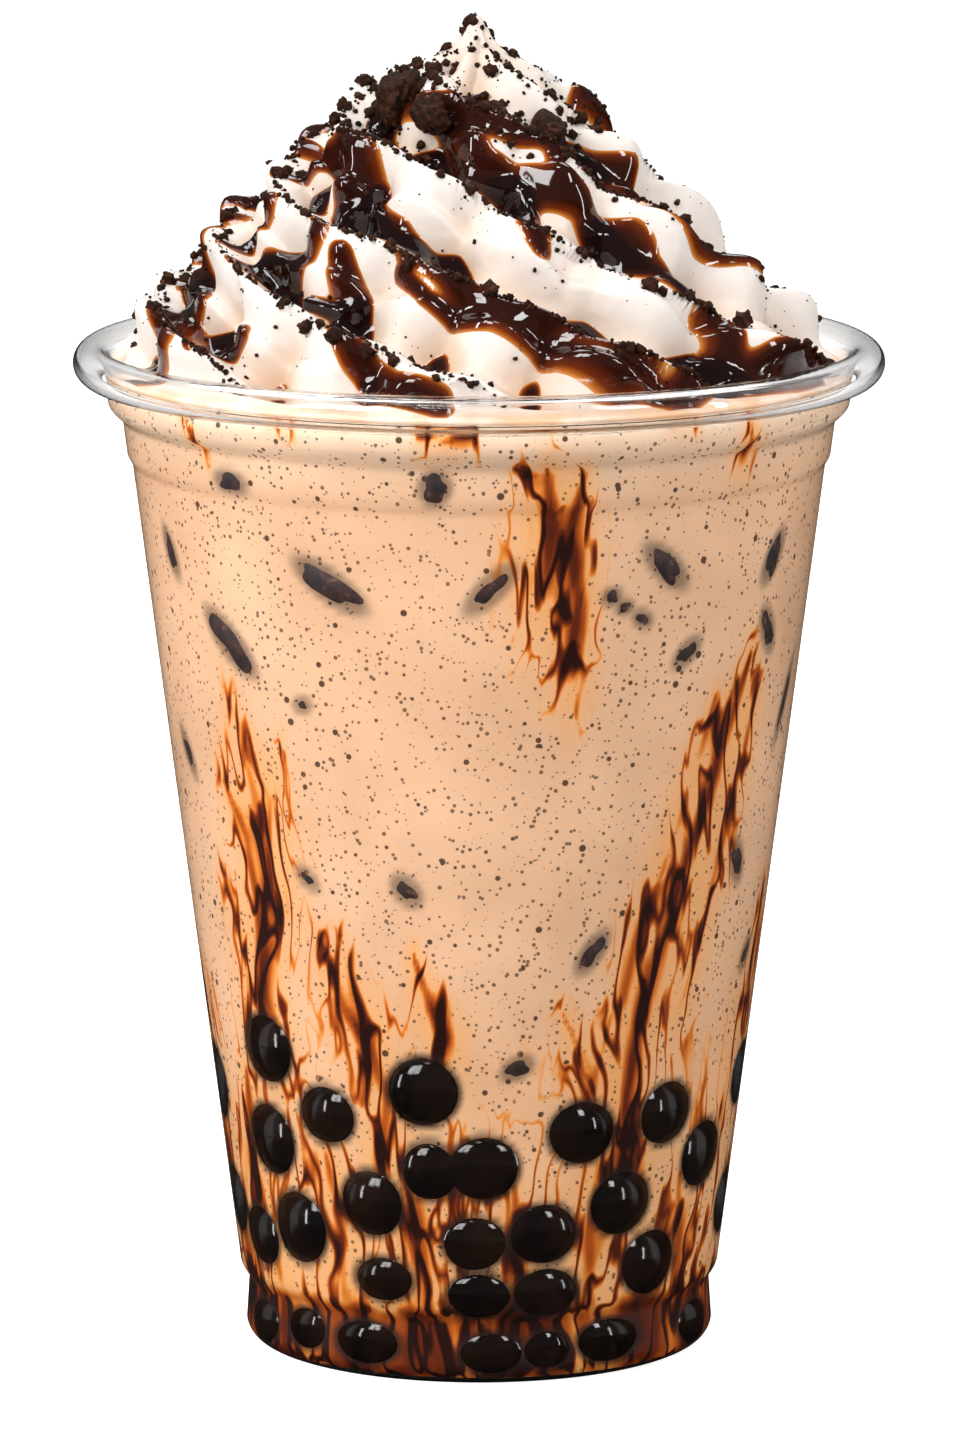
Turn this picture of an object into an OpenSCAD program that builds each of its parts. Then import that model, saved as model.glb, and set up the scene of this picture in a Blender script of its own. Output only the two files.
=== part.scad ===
// Bubble tea: a clear plastic cup of milk tea under a tall piped swirl of whipped cream.
// Millimetres, +Z up. The origin is the middle of the cup's foot, on the table, and -Y is
// the front. The cup is one thin sheet that is turned round Z, the drink fills it to its
// level, and the cream is a cone whose skin is pushed out by coils, flutes and pillows.

/* [Cup] */
// Diameter over the rolled rim
rim_d = 98.2; // [88:0.2:120]
// Height from the table to the top of the rim
cup_h = 123; // [95:1:150]
// Diameter of the wall just above the foot
wall_foot_d = 58.6; // [48:0.2:72]
// Thickness of the clear sheet
wall = 0.7; // [0.5:0.05:1.2]
// Diameter of the roll that makes the rim
roll_d = 4.7; // [3.6:0.1:6]
// Straight height of the shoulder band under the roll
shoulder_h = 1.6; // [0.8:0.1:3]
// Width of the stacking ledge under the shoulder band
ledge = 1.8; // [0.8:0.1:3]
// Height over which the ledge turns in
ledge_h = 2.4; // [1.6:0.1:4]
// Height of the neck band under the ledge
neck_h = 3.7; // [2:0.1:6]
// How far the wall steps in under the neck band
neck_step = 0.7; // [0.3:0.05:1.5]
// Height over which the neck steps in
neck_step_h = 1.7; // [1:0.1:3]
// Height of the foot band
foot_h = 7.5; // [5:0.1:12]
// How far the foot band lies inside the wall above it
foot_step = 1.1; // [0.5:0.05:2]
// Height over which the wall turns in to the foot band
foot_step_h = 2.5; // [1.5:0.1:4]
// Radius of the foot's outer corner
foot_corner = 2.6; // [1.6:0.1:4]
// Rise of the bottom's middle above the table
push_up = 1.6; // [0.6:0.1:3]
// Width of the flat ring that the cup stands on
ring_w = 5; // [3:0.5:8]

/* [Drink] */
// Depth of the drink's surface below the top of the rim
drink_depth = 4; // [3.5:0.5:12]

/* [Cream] */
// Height of the cream's tip above the drink
cream_h = 44; // [34:0.5:60]
// Height of the cream's edge above the drink, where its cone begins
cream_edge_h = 1; // [0.5:0.5:6]
// Clearance between the cream and the cup's wall
cream_gap = 0.5; // [0.3:0.1:2]
// Number of coils that wind down the cone side by side
coil_n = 6; // [4:1:7]
// Distance between coils, down the cone
coil_pitch = 14.6; // [12:0.2:18]
// Depth of the coils to each side of the cone
coil_depth = 2.2; // [1:0.1:2.6]
// Depth of the two flutes along each coil's face
flute_depth = 0.7; // [0:0.05:0.8]
// Depth of the pillows that follow each other along a coil
pillow_depth = 2.2; // [0.4:0.1:2.4]
// How far the tip is drawn in below its point
tip_waist = 1.2; // [0:0.1:1.6]
// How far the cone bulges to the left, halfway up
lean = 2.2; // [0:0.1:3]

/* [Cookie pieces] */
// Width of the largest cookie piece
cookie_w = 7.6; // [5:0.2:9]
// Height of the largest cookie piece
cookie_h = 5.2; // [3:0.2:6]
// Clearance between a cookie piece and the cream
cookie_gap = 0.6; // [0.4:0.05:0.9]

/* [Hidden] */

$fn = 96;
half = wall / 2;

// Levels, from the table up
foot_top_z = foot_h + foot_step_h;
roll_z = cup_h - roll_d / 2;
shoulder_top_z = roll_z - roll_d / 2 - 0.7;
shoulder_z = shoulder_top_z - shoulder_h;
neck_top_z = shoulder_z - ledge_h;
neck_z = neck_top_z - neck_h;
body_top_z = neck_z - neck_step_h;
drink_z = cup_h - drink_depth;
peak_z = drink_z + cream_h;

// Radii of the sheet's middle line
roll_r = roll_d / 2 - half;
roll_mid_r = rim_d / 2 - roll_d / 2;
shoulder_r = roll_mid_r - roll_r;
band_draft = 0.13;
neck_top_r = shoulder_r - ledge - shoulder_h * band_draft;
neck_r = neck_top_r - neck_h * band_draft;
body_top_r = neck_r - neck_step;
body_foot_r = wall_foot_d / 2 - half;
foot_top_r = body_foot_r - foot_step;
foot_r = foot_top_r + 0.35;
corner_r = foot_corner - half;
ring_out_r = foot_r - corner_r;
ring_in_r = ring_out_r - ring_w;
ring_soft = 0.4;

// A level's share that starts and ends softly
function soft(t) = let (c = max(0, min(1, t))) c * c * (3 - 2 * c);

// An arc of n steps about [r, z], from angle a to angle b
function arc(r, z, radius, a, b, n) =
    [for (i = [0:n]) let (t = a + (b - a) * i / n) [r + radius * cos(t), z + radius * sin(t)]];

// A soft step of n steps from one point to another, even in height
function soft_rise(from, to, n) =
    [for (i = [0:n]) [from[0] + (to[0] - from[0]) * soft(i / n), from[1] + (to[1] - from[1]) * i / n]];

// A soft step of n steps from one point to another, even in radius
function soft_fall(from, to, n) =
    [for (i = [0:n]) [from[0] + (to[0] - from[0]) * i / n, from[1] + (to[1] - from[1]) * soft(i / n)]];

// The sheet's middle line, from the bottom's centre out, up the wall and round the roll
cup_line = concat(
    [[0, push_up + half]],
    soft_fall([ring_in_r - 2 * push_up, push_up + half], [ring_in_r, half], 6),
    [[ring_in_r + ring_soft, half], [ring_out_r - ring_soft, half]],
    arc(ring_out_r, half + corner_r, corner_r, -90, -8, 7),
    soft_rise([foot_top_r, foot_h], [body_foot_r, foot_top_z], 6),
    soft_rise([body_top_r, body_top_z], [neck_r, neck_z], 5),
    soft_rise([neck_top_r, neck_top_z], [shoulder_r - shoulder_h * band_draft, shoulder_z], 6),
    [[shoulder_r, shoulder_top_z]],
    arc(roll_mid_r, roll_z, roll_r, 180, -120, 20));

// The direction square to the line at point i, to the right of its run
function square_to(line, i) =
    let (last = len(line) - 1,
         d = line[min(last, i + 1)] - line[max(0, i - 1)],
         n = [d[1], -d[0]] / norm(d))
    i == 0 ? [0, -1] : n;

cup_outside = [for (i = [0:len(cup_line) - 1]) cup_line[i] + half * square_to(cup_line, i)];
cup_inside = [for (i = [0:len(cup_line) - 1]) cup_line[i] - half * square_to(cup_line, i)];

// The inside's radius at a height, from the wall's own points below the roll
inside_wall = [for (p = cup_inside) if (p[0] > ring_out_r && p[0] < shoulder_r) p];
function inside_r(z) = lookup(z, [for (p = inside_wall) [p[1], p[0]]]);

module cup() {
    color([0.93, 0.95, 0.96, 0.35])
        rotate_extrude()
            polygon(concat(cup_outside, [for (i = [len(cup_inside) - 1:-1:0]) cup_inside[i]]));
}

module milk_tea() {
    under = [for (p = cup_inside) if (p[0] < shoulder_r && p[1] < drink_z - 0.1) p];
    color([0.91, 0.75, 0.58])
        rotate_extrude()
            polygon(concat(under, [[inside_r(drink_z), drink_z], [0, drink_z]]));
}

// The cream is a cone from its edge to its tip. A place on its skin is an angle round Z and
// a distance down the slope from the tip.
cream_r = inside_r(drink_z) - cream_gap;
cone_h = cream_h - cream_edge_h;
slope_len = norm([cream_r, cone_h]);
out_dir = [cone_h, cream_r] / slope_len;
columns = 90;
rings = 38;

// A ridge's height from -1 to 1 at a phase in turns. The crest is at 0, the outer face takes
// the share of the turn that is given, and the short shelf behind the next crest the rest.
function ridge(phase, face) =
    let (f = phase - floor(phase),
         c = f < face ? f / face / 2 : 0.5 + (f - face) / (1 - face) / 2)
    cos(360 * c);

// Which coil a place is on, and how far across it, as a phase in turns. The coils run down to
// the right, more steeply at the right and low down, and waver.
front = 270;
first_crest = 1.38;
coil_face = 0.74;
function coil_phase(a, s) =
    let (f = a - front,
         steeper = -2.5 + 6.5 * soft(s / slope_len),
         waver = 0.09 * sin(2 * f + 34) + 0.05 * sin(5 * f - 6.3 * s))
    s / coil_pitch - coil_n * f / 360 - (steeper * sin(f) - 2 * cos(f)) / (2 * PI) - first_crest + waver;

// A row of round pillows with narrow valleys: count of them go round the cone
function pillows(count, f, down, shift) = 2 * sqrt(pow(cos((count * f + down + shift) / 2), 2) + 0.02) - 1.25;

// How far the skin stands out of the cone: coils, the flutes along them and the pillows in a
// row on each, with more pillows to a turn lower down. All fade at the tip and at the edge,
// and the tip is drawn in to a waist.
function stand_out(a, s) =
    let (f = a - front,
         phase = coil_phase(a, s),
         across = phase - floor(phase),
         coil = floor(phase) - coil_n * floor(floor(phase) / coil_n),
         shift = 137.5 * coil + 40 * sin(2 * f + 57) + 29 * sin(3 * f + 6.9 * s),
         high = soft((30 - s) / 14),
         low = soft((s - 38) / 12),
         row = high * pillows(6, f, 8.2 * s, 29 + shift)
             + (1 - high - low) * pillows(11, f, 9.5 * s, 57 + shift)
             + low * pillows(16, f, 11.5 * s, 115 + shift),
         on_face = 0.45 + 0.55 * soft(across / 0.2) * soft((0.97 - across) / 0.25),
         uneven = 1 + 0.18 * sin(3 * f + 4 * s + 57),
         waist = tip_waist * exp(-pow((s - 6) / 4.5, 2)),
         fade = soft(s / 24) * soft((slope_len - s) / 4))
    fade * uneven * (coil_depth * ridge(phase, coil_face)
        + flute_depth * ridge(2 * phase + 2 * f / 360 + 0.3, 0.7)
        + pillow_depth * on_face * row) - waist;

// The skin's point there, kept inside the cup's wall up to the top of the rim
function skin(a, s, lift = 0) =
    let (t = s / slope_len,
         out = stand_out(a, s) + lift,
         r = cream_r * t + out * out_dir[0],
         z = peak_z - cone_h * t + out * out_dir[1],
         x = r * cos(a) - lean * sin(180 * t),
         y = r * sin(a),
         reach = max(0.001, norm([x, y])),
         keep = z < cup_h + 1 ? min(1, cream_r / reach) : 1)
    [x * keep, y * keep, z];

// A closed solid from the cream's rings: a tip, the rings and a flat base
module whipped_cream() {
    tip = [0, 0, peak_z];
    skin_rings = [for (i = [1:rings], j = [0:columns - 1])
        skin(j * 360 / columns, slope_len * i / rings)];
    base = [for (j = [0:columns - 1])
        let (a = j * 360 / columns) [cream_r * cos(a), cream_r * sin(a), drink_z]];
    foot = [0, 0, drink_z];
    points = concat([tip], skin_rings, base, [foot]);
    function at(i, j) = 1 + i * columns + j % columns;
    top = [for (j = [0:columns - 1]) [0, at(0, j + 1), at(0, j)]];
    side = [for (i = [0:rings - 1], j = [0:columns - 1], second = [0, 1])
        second == 0 ? [at(i, j), at(i, j + 1), at(i + 1, j + 1)]
                    : [at(i, j), at(i + 1, j + 1), at(i + 1, j)]];
    bottom = [for (j = [0:columns - 1]) [len(points) - 1, at(rings, j), at(rings, j + 1)]];
    color([0.98, 0.95, 0.89]) polyhedron(points, concat(top, side, bottom));
}

// A broken cookie piece: a lumpy block over a patch of the cream's skin
module cookie_piece(a, s, w, h) {
    n = 6;
    r = cream_r * s / slope_len;
    turn = w / r * 180 / PI;
    function lump(u, v) = 0.42 + 0.58 * (1 - u * u * u * u) * (1 - v * v * v * v)
        * (0.86 + 0.14 * sin(190 * u + 70) * cos(160 * v - 20));
    function corner(u, v) = 1 - 0.16 * (u * u * v * v) - 0.07 * (sin(400 * u) + cos(330 * v));
    function patch(i, j, top) =
        let (u = 2 * i / n - 1, v = 2 * j / n - 1, c = corner(u, v) / 2)
        skin(a + turn * u * c, s + w * 0.85 * v * c, cookie_gap + (top ? h * lump(u, v) : 0));
    points = concat([for (i = [0:n], j = [0:n]) patch(i, j, true)],
                    [for (i = [0:n], j = [0:n]) patch(i, j, false)]);
    low = (n + 1) * (n + 1);
    function at(i, j) = i * (n + 1) + j;
    cells = [for (i = [0:n - 1], j = [0:n - 1]) [at(i, j), at(i, j + 1), at(i + 1, j + 1), at(i + 1, j)]];
    tops = [for (c = cells, k = [0, 1]) [c[0], c[k + 2], c[k + 1]]];
    bottoms = [for (f = tops) [f[2] + low, f[1] + low, f[0] + low]];
    edge = concat([for (j = [0:n - 1]) at(0, j)], [for (i = [0:n - 1]) at(i, n)],
                  [for (j = [n:-1:1]) at(n, j)], [for (i = [n:-1:1]) at(i, 0)]);
    sides = [for (k = [0:len(edge) - 1], second = [0, 1])
        let (p = edge[k], q = edge[(k + 1) % len(edge)])
        second == 0 ? [p, q, q + low] : [p, q + low, p + low]];
    color([0.13, 0.08, 0.06]) polyhedron(points, concat(tops, bottoms, sides));
}

cup();
milk_tea();
whipped_cream();
cookie_piece(216, 14.5, cookie_w, cookie_h);  // cookie_piece_large
cookie_piece(250, 17, 0.5 * cookie_w, 0.6 * cookie_h);  // cookie_piece_small
cookie_piece(319, 19.5, 0.6 * cookie_w, 0.7 * cookie_h);  // cookie_piece_right
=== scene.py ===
# %% [markdown]
# # A cup of bubble tea
# A clear plastic cup holds milk tea with tapioca pearls, brown sugar streaks and bits of
# cookie. A piped swirl of whipped cream stands on it under chocolate sauce and crumbs. The
# packed construction model comes first: it fixes the places and sizes, and this script gives
# each of its solids a finer surface and a finish.

# %% Load the construction model
import math

import bpy
import numpy as np
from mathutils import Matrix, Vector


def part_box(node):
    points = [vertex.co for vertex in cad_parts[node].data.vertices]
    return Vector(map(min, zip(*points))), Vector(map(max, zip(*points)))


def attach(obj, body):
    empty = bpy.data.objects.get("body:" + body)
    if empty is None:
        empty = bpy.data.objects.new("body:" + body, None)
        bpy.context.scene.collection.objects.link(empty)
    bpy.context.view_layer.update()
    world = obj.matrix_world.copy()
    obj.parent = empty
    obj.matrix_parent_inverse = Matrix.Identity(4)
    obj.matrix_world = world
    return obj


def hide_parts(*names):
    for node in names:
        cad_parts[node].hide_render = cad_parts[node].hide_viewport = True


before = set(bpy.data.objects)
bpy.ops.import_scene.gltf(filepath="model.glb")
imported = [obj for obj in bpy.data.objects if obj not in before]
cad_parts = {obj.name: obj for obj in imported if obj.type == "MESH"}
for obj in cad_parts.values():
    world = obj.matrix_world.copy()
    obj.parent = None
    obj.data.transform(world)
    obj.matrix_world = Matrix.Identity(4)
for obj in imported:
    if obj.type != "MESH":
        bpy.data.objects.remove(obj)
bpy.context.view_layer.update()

# %% [markdown]
# All shapes below are worked out in millimetres, as arrays of points, and become metres only
# where a mesh is made. A surface is a grid of points, so its faces follow from the grid's
# numbering alone. A row that shrinks to a point, such as the tip of the cream, is one vertex
# with a fan of triangles round it, so that no seam or hole is left.

# %% Surfaces from grids of points
MM = 0.001


def soft(t):
    """A step from 0 to 1 with level ends: 3 t squared minus 2 t cubed, t kept in 0 to 1."""
    t = np.clip(t, 0.0, 1.0)
    return t * t * (3 - 2 * t)


def grid_faces(rows, columns, around=True):
    """Corner numbers of a grid's quads. Column j is joined to j + 1, and the last to the first."""
    i, j = np.meshgrid(np.arange(rows - 1), np.arange(columns - (not around)), indexing="ij")
    k = (j + 1) % columns
    corners = (i * columns + j, i * columns + k, (i + 1) * columns + k, (i + 1) * columns + j)
    return np.stack(corners, -1).reshape(-1, 4)


def mesh_piece(name, points, quads, triangles, values=None):
    """One smooth-shaded object from points in mm and arrays of corner numbers. Values holds
    named numbers, one for each point, which the materials read as attributes."""
    mesh = bpy.data.meshes.new(name)
    quads = np.asarray(quads, int).reshape(-1, 4)
    triangles = np.asarray(triangles, int).reshape(-1, 3)
    loops = np.concatenate((quads.ravel(), triangles.ravel()))
    starts = np.concatenate(
        (np.arange(len(quads)) * 4, len(quads) * 4 + np.arange(len(triangles)) * 3)
    )
    mesh.vertices.add(len(points))
    mesh.vertices.foreach_set("co", (np.asarray(points) * MM).astype(np.float32).ravel())
    mesh.loops.add(len(loops))
    mesh.loops.foreach_set("vertex_index", loops.astype(np.int32))
    mesh.polygons.add(len(starts))
    mesh.polygons.foreach_set("loop_start", starts.astype(np.int32))
    mesh.update(calc_edges=True)
    mesh.validate()
    mesh.shade_smooth()
    for key, numbers in (values or {}).items():
        layer = mesh.attributes.new(key, "FLOAT", "POINT")
        layer.data.foreach_set("value", np.asarray(numbers, np.float32).ravel())
    piece = bpy.data.objects.new(name, mesh)
    bpy.context.scene.collection.objects.link(piece)
    print(f"{name}: {len(points)} points, {len(quads) * 2 + len(triangles)} triangles")
    return piece


def closed_grid(rows, first, last, down=False):
    """Points and faces of rows that each close on themselves, with an end point for the first
    and last row. Faces point outwards for rows that go up the outside, or down if so said."""
    n, m = rows.shape[:2]
    quads = grid_faces(n, m)
    j = np.arange(m)
    k = (j + 1) % m
    top = (n - 1) * m
    first_fan = np.stack((np.full(m, n * m), k, j), -1)
    last_fan = np.stack((np.full(m, n * m + 1), top + j, top + k), -1)
    triangles = np.concatenate((first_fan, last_fan))
    if down:
        quads, triangles = quads[:, ::-1], triangles[:, ::-1]
    return np.concatenate((rows.reshape(-1, 3), [first, last])), quads, triangles


def finish_piece(piece, slot, material, *stands_for):
    """Gives a piece its finish, says what it rides on and hides the nodes it stands for. The slot is
    not used.
    """
    piece.data.materials.append(material)
    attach(piece, "root")
    if stands_for:
        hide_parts(*stands_for)


def round_z(turn, radius, height):
    """Points on circles round Z. A turn is in degrees from the front, positive to the right."""
    t = np.radians(turn)
    return np.stack(np.broadcast_arrays(radius * np.sin(t), -radius * np.cos(t), height), -1)


# %% [markdown]
# ## Camera, light and floor
# A long lens far away keeps the cup's sides almost parallel. Large soft lamps stand at both
# sides and overhead, as in a food studio, and show as bright windows in whatever is wet. The
# floor is plain and nearly white, and so is the far surround that the camera sees, but the
# surround lights the object only a little, so that dark glossy things stay dark.

# %% Camera
LENS_MM, SENSOR_MM, LOOK_DOWN_DEG = 254.8, 36.0, 10.15
CAMERA_M = (0.00012, -1.221, 0.295)
camera_data = bpy.data.cameras.new("camera")
camera_data.lens = LENS_MM
camera_data.sensor_width = SENSOR_MM
camera_data.clip_start = 0.05
camera = bpy.data.objects.new("camera", camera_data)
camera.location = CAMERA_M
camera.rotation_euler = (math.radians(90 - LOOK_DOWN_DEG), 0.0, 0.0)
bpy.context.scene.collection.objects.link(camera)
bpy.context.scene.camera = camera
bpy.context.scene.view_settings.view_transform = "Standard"

# %% Lamps
CENTRE_M = np.array((0.0, 0.0, 0.09))


def lamp(name, azimuth, elevation, distance, width, height, watts):
    """A flat rectangular lamp that faces the object from a direction in degrees round it."""
    a, e = math.radians(azimuth), math.radians(elevation)
    away = np.array((math.sin(a) * math.cos(e), -math.cos(a) * math.cos(e), math.sin(e)))
    data = bpy.data.lights.new(name, "AREA")
    data.shape = "RECTANGLE"
    data.size, data.size_y = width, height
    data.energy = watts
    piece = bpy.data.objects.new(name, data)
    piece.location = CENTRE_M + distance * away
    piece.rotation_euler = (math.radians(90) - e, 0.0, a)
    bpy.context.scene.collection.objects.link(piece)


lamp("window_left", -51, 40, 0.75, 0.13, 0.32, 1.7)
lamp("window_left_pane", -37, 41, 0.75, 0.13, 0.32, 1.55)
lamp("window_left_low", -70, 12, 0.75, 0.06, 0.36, 1.2)
lamp("window_right", 46, 40, 0.8, 0.14, 0.26, 1.6)
lamp("window_right_low", 70, 10, 0.8, 0.05, 0.36, 0.9)
lamp("overhead", -20, 68, 0.8, 0.12, 0.08, 0.5)
lamp("behind_left", -150, 56, 0.8, 0.3, 0.3, 1.5)
lamp("behind_right", 150, 56, 0.8, 0.3, 0.3, 1.5)

# %% Floor and surround
SURROUND_SEEN, SURROUND_LIGHT, MIRRORED_FRONT, MIRRORED_BEHIND = 0.98, 0.36, 0.08, 1.0
FLOOR_GREY, FLOOR_DARK, FLOOR_GLOW = 0.9, 0.02, 0.7
FLOOR_MM, FLOOR_Z = 8000.0, -0.02


def node(tree, kind, **settings):
    """A new shader node. Settings are its properties, or its inputs by name or number."""
    made = tree.nodes.new(kind)
    for key, value in settings.pop("inputs", {}).items():
        made.inputs[key].default_value = value
    for key, value in settings.items():
        setattr(made, key, value)
    return made


def chain(tree, *links):
    """Joins output sockets to input sockets, given in pairs."""
    for start, end in links:
        tree.links.new(start, end)


def math_node(tree, kind, first, second=None, third=None, clamp=False):
    """A Math node whose inputs are numbers or sockets, and its output socket."""
    made = node(tree, "ShaderNodeMath", operation=kind, use_clamp=clamp)
    for index, value in enumerate((first, second, third)):
        if isinstance(value, bpy.types.NodeSocket):
            tree.links.new(value, made.inputs[index])
        elif value is not None:
            made.inputs[index].default_value = value
    return made.outputs[0]


def ray_kinds(tree, vector, reach):
    """Three numbers from the Light Path: 1 for rays that see a thing straight or only through
    the clear sheet, 1 for rays that see it mirrored, and of those, 1 for the ones that find
    it dark. These are all but the rays that leave the clear sheet to the side behind the
    object, where the vector's Y is above 0."""
    path = node(tree, "ShaderNodeLightPath")
    mirrored = math_node(tree, "MINIMUM", path.outputs["Glossy Depth"], 1.0)
    bounced = math_node(tree, "ADD", path.outputs["Diffuse Depth"], mirrored)
    through = math_node(tree, "SUBTRACT", path.outputs["Is Transmission Ray"], bounced, clamp=True)
    seen = math_node(tree, "MAXIMUM", path.outputs["Is Camera Ray"], through)
    parts = node(tree, "ShaderNodeSeparateXYZ")
    tree.links.new(vector, parts.inputs[0])
    behind = math_node(tree, "DIVIDE", parts.outputs["Y"], reach, clamp=True)
    bright = math_node(tree, "MULTIPLY", behind, path.outputs["Is Transmission Ray"])
    dark = math_node(tree, "SUBTRACT", 1.0, bright)
    return seen, mirrored, math_node(tree, "MULTIPLY", mirrored, dark)


world = bpy.data.worlds.new("surround")
bpy.context.scene.world = world
world.use_nodes = True
tree = world.node_tree
tree.nodes.clear()
way = node(tree, "ShaderNodeTexCoord").outputs["Generated"]
seen, mirrored, darkened = ray_kinds(tree, way, 0.12)
strength = math_node(tree, "MULTIPLY_ADD", seen, SURROUND_SEEN - SURROUND_LIGHT, SURROUND_LIGHT)
strength = math_node(tree, "MULTIPLY_ADD", mirrored, MIRRORED_BEHIND - SURROUND_LIGHT, strength)
strength = math_node(tree, "MULTIPLY_ADD", darkened, MIRRORED_FRONT - MIRRORED_BEHIND, strength)
sky = node(tree, "ShaderNodeBackground", inputs={"Color": (1, 1, 1, 1)})
out = node(tree, "ShaderNodeOutputWorld")
chain(tree, (strength, sky.inputs["Strength"]), (sky.outputs[0], out.inputs[0]))

floor_material = bpy.data.materials.new("pale_floor")
floor_material.use_nodes = True
tree = floor_material.node_tree
tree.nodes.clear()
spot = node(tree, "ShaderNodeNewGeometry").outputs["Position"]
seen, _, darkened = ray_kinds(tree, spot, 0.06)
grey = math_node(tree, "MULTIPLY_ADD", darkened, FLOOR_DARK - FLOOR_GREY, FLOOR_GREY)
matt = node(tree, "ShaderNodeBsdfDiffuse")
glow = node(tree, "ShaderNodeEmission")
both = node(tree, "ShaderNodeAddShader")
out = node(tree, "ShaderNodeOutputMaterial")
chain(
    tree,
    (grey, matt.inputs["Color"]),
    (math_node(tree, "MULTIPLY", seen, FLOOR_GLOW), glow.inputs["Strength"]),
    (matt.outputs[0], both.inputs[0]),
    (glow.outputs[0], both.inputs[1]),
    (both.outputs[0], out.inputs[0]),
)
floor_rows = np.array(
    [[(-FLOOR_MM, -FLOOR_MM, FLOOR_Z), (FLOOR_MM, -FLOOR_MM, FLOOR_Z)],
     [(-FLOOR_MM, FLOOR_MM, FLOOR_Z), (FLOOR_MM, FLOOR_MM, FLOOR_Z)]]
)
floor = mesh_piece("floor", floor_rows.reshape(-1, 3), grid_faces(2, 2, around=False), [])
floor.data.materials.append(floor_material)

# %% [markdown]
# ## The cup
# A cold cup is one thin clear sheet, drawn into a tapered wall with a foot band below, and a
# neck band, a stacking ledge, a shoulder and a rolled rim above. It could be built from the
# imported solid, but turning a finer profile gives cleaner highlights. The profile is the
# sheet's middle line, and half the wall is added to each side of it.

# %% The cup's sizes, as in the construction model
RIM_D, CUP_H, WALL_FOOT_D, WALL = 98.2, 123.0, 58.6, 0.7
ROLL_D, SHOULDER_H, LEDGE, LEDGE_H = 4.7, 1.6, 1.8, 2.4
NECK_H, NECK_STEP, NECK_STEP_H = 3.7, 0.7, 1.7
FOOT_H, FOOT_STEP, FOOT_STEP_H, FOOT_CORNER = 7.5, 1.1, 2.5, 2.6
PUSH_UP, RING_W, BAND_DRAFT, FOOT_FLARE, RING_SOFT = 1.6, 5.0, 0.13, 0.35, 0.4
DRINK_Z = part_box("milk_tea")[1].z / MM
PEAK_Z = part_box("whipped_cream")[1].z / MM
HALF = WALL / 2
ROLL_Z = CUP_H - ROLL_D / 2
SHOULDER_TOP_Z = ROLL_Z - ROLL_D / 2 - 0.7
SHOULDER_Z = SHOULDER_TOP_Z - SHOULDER_H
NECK_TOP_Z = SHOULDER_Z - LEDGE_H
NECK_Z = NECK_TOP_Z - NECK_H
BODY_TOP_Z = NECK_Z - NECK_STEP_H
ROLL_R = ROLL_D / 2 - HALF
ROLL_MID_R = RIM_D / 2 - ROLL_D / 2
SHOULDER_R = ROLL_MID_R - ROLL_R
NECK_TOP_R = SHOULDER_R - LEDGE - SHOULDER_H * BAND_DRAFT
NECK_R = NECK_TOP_R - NECK_H * BAND_DRAFT
BODY_TOP_R = NECK_R - NECK_STEP
BODY_FOOT_R = WALL_FOOT_D / 2 - HALF
FOOT_TOP_R = BODY_FOOT_R - FOOT_STEP
CORNER_R = FOOT_CORNER - HALF
RING_OUT_R = FOOT_TOP_R + FOOT_FLARE - CORNER_R
RING_IN_R = RING_OUT_R - RING_W
print(f"drink to {DRINK_Z:.1f} mm, cream to {PEAK_Z:.1f} mm, shoulder radius {SHOULDER_R:.2f} mm")

# %% The sheet's middle line


def arc(r, z, radius, start, end, steps):
    """Points (r + radius cos a, z + radius sin a), for angles a in degrees."""
    a = np.radians(np.linspace(start, end, steps + 1))
    return np.stack((r + radius * np.cos(a), z + radius * np.sin(a)), -1)


def soft_line(start, end, steps, soft_in):
    """A soft step between two points. The coordinate soft_in, 0 for r or 1 for z, eases."""
    t = np.linspace(0, 1, steps + 1)[:, None]
    share = np.where(np.arange(2) == soft_in, soft(t), t)
    return np.asarray(start) + (np.asarray(end) - start) * share


sheet_line = np.concatenate(
    (
        [(0.0, PUSH_UP + HALF), (RING_IN_R / 2, PUSH_UP + HALF)],
        soft_line((RING_IN_R - 2 * PUSH_UP, PUSH_UP + HALF), (RING_IN_R, HALF), 10, 1),
        [(RING_IN_R + RING_SOFT, HALF), (RING_OUT_R - RING_SOFT, HALF)],
        arc(RING_OUT_R, HALF + CORNER_R, CORNER_R, -90, -8, 14),
        soft_line((FOOT_TOP_R, FOOT_H), (BODY_FOOT_R, FOOT_H + FOOT_STEP_H), 12, 0),
        soft_line((BODY_TOP_R, BODY_TOP_Z), (NECK_R, NECK_Z), 10, 0),
        soft_line(
            (NECK_TOP_R, NECK_TOP_Z), (SHOULDER_R - SHOULDER_H * BAND_DRAFT, SHOULDER_Z), 12, 0
        ),
        [(SHOULDER_R, SHOULDER_TOP_Z)],
        arc(ROLL_MID_R, ROLL_Z, ROLL_R, 180, -120, 40),
    )
)


def squares(line):
    """Unit directions to the right of a line's run, from the points before and after each. The
    first point lies on the axis, so its direction is straight down."""
    run = np.gradient(line, axis=0)
    right = np.stack((run[:, 1], -run[:, 0]), -1) / np.linalg.norm(run, axis=1)[:, None]
    right[0] = (0.0, -1.0)
    return right


outside = sheet_line + HALF * squares(sheet_line)
inside = sheet_line - HALF * squares(sheet_line)
wall_part = inside[(inside[:, 0] > RING_OUT_R) & (inside[:, 0] < SHOULDER_R)]


def wall_inside(height):
    """The cup's inner radius in mm at a height, read between the profile's points."""
    return np.interp(height, wall_part[:, 1], wall_part[:, 0])


def on_wall(turn, height, lift=0.0):
    """A point on the wall's inner face, moved out into the wall by lift."""
    return round_z(turn, wall_inside(height) + lift, height)


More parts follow.
